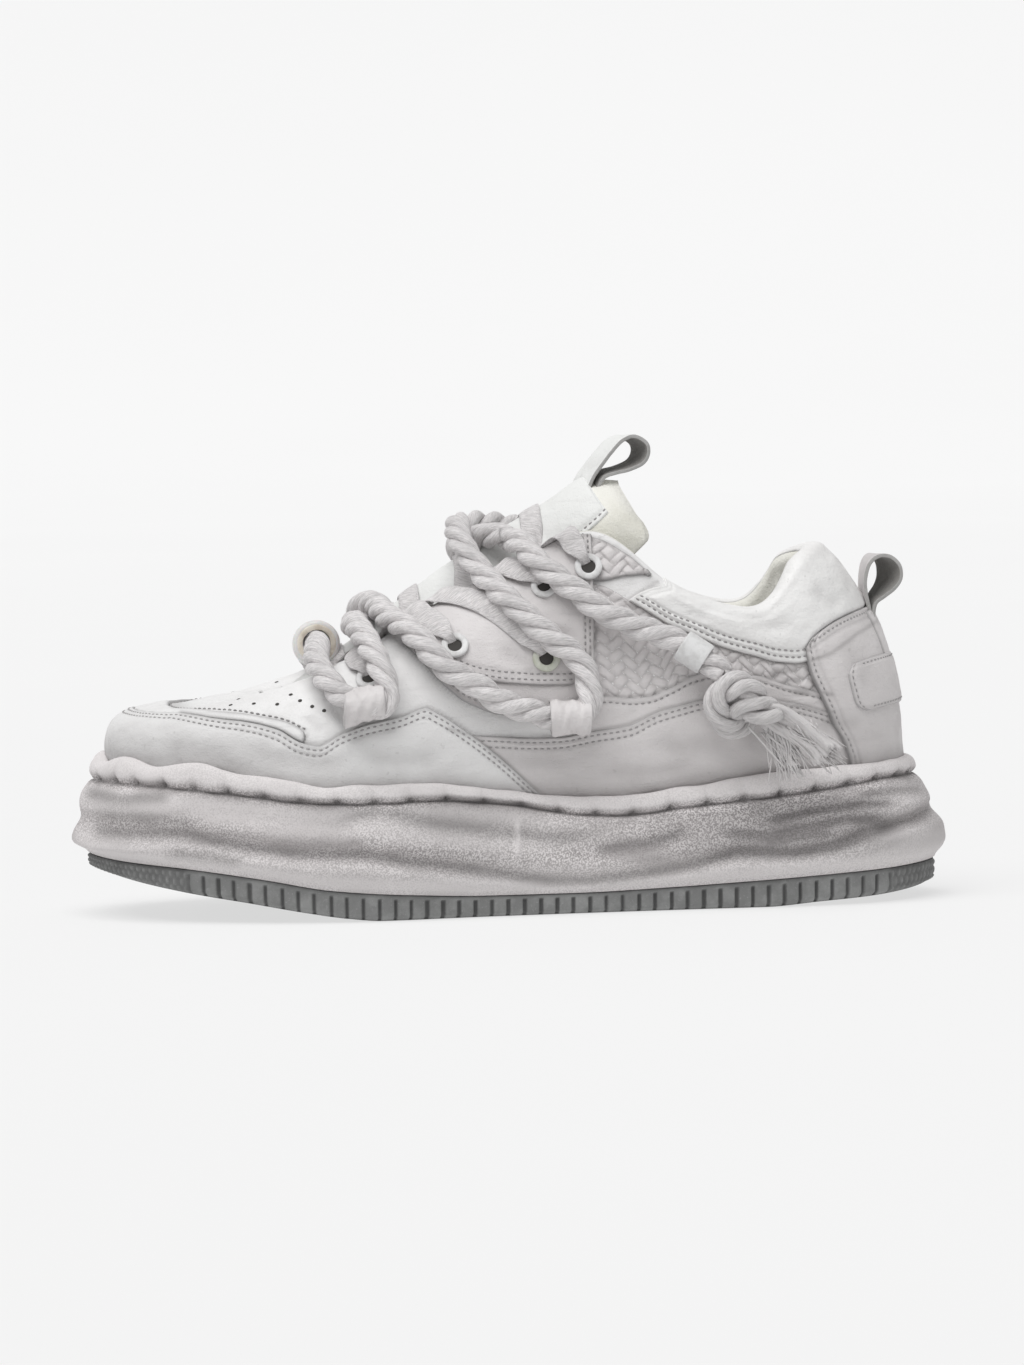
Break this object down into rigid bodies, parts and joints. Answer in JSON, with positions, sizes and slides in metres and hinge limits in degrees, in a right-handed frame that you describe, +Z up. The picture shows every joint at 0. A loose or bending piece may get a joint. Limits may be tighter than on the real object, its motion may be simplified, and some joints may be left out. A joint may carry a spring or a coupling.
{
  "type": "low-top sneaker",
  "caption": "Worn chunky white leather low-top sneaker for the left foot, with a thick folded foam sole, padded collar, rope laces in leather keepers and two pull loops.",
  "frame": {"origin": "on the floor, under the middle of the shoe's outer box", "axes": "+X to the heel, toe at -X, outer side of the left shoe at -Y, +Z up"},
  "size_m": [0.3112, 0.1206, 0.1669],
  "materials": {
    "upper_leather": "coated full-grain leather, creased, scuffed and greyed towards the sole",
    "tongue_leather": "soft padded leather with a yellowed cloth lining",
    "lining_cloth": "brushed cloth over foam, yellowed",
    "sole_foam": "matt moulded foam rubber, folded, with ground-in dust",
    "outsole_rubber": "matt tread rubber",
    "lace_cotton": "brushed twisted cotton",
    "loop_tape": "folded leather-backed tape, pale outside and dark inside",
    "eyelet_ring": "moulded ring",
    "bead_plastic": "milky moulded plastic"
  },
  "bodies": {
    "root": {"outsole": "outsole_rubber", "midsole": "sole_foam", "insole": "lining_cloth", "upper": "upper_leather", "tongue": "tongue_leather", "toe_mudguard": "upper_leather", "heel_counter": "upper_leather", "heel_patch": "upper_leather", "tongue_loop": "loop_tape", "heel_loop": "loop_tape", "eyestay_lateral": "upper_leather", "eyestay_medial": "upper_leather", "eyelet_lateral_1": "eyelet_ring", "eyelet_lateral_2": "eyelet_ring", "eyelet_lateral_3": "eyelet_ring", "eyelet_lateral_4": "eyelet_ring", "eyelet_lateral_5": "eyelet_ring", "eyelet_medial_1": "eyelet_ring", "eyelet_medial_2": "eyelet_ring", "eyelet_medial_3": "eyelet_ring", "eyelet_medial_4": "eyelet_ring", "eyelet_medial_5": "eyelet_ring", "lace_keeper_lateral_front": "upper_leather", "lace_keeper_lateral_rear": "upper_leather", "lace_keeper_medial_front": "upper_leather", "lace_keeper_medial_rear": "upper_leather", "flat_lace_1": "lace_cotton", "flat_lace_2": "lace_cotton", "flat_lace_3": "lace_cotton", "flat_lace_4": "lace_cotton", "flat_lace_5": "lace_cotton", "lace_bars": "lace_cotton", "lace_bead": "bead_plastic", "lace_end": "lace_cotton", "lace_sleeve": "bead_plastic", "lace_knot": "lace_cotton", "lace_tassel": "lace_cotton"}
  },
  "joints": []
}
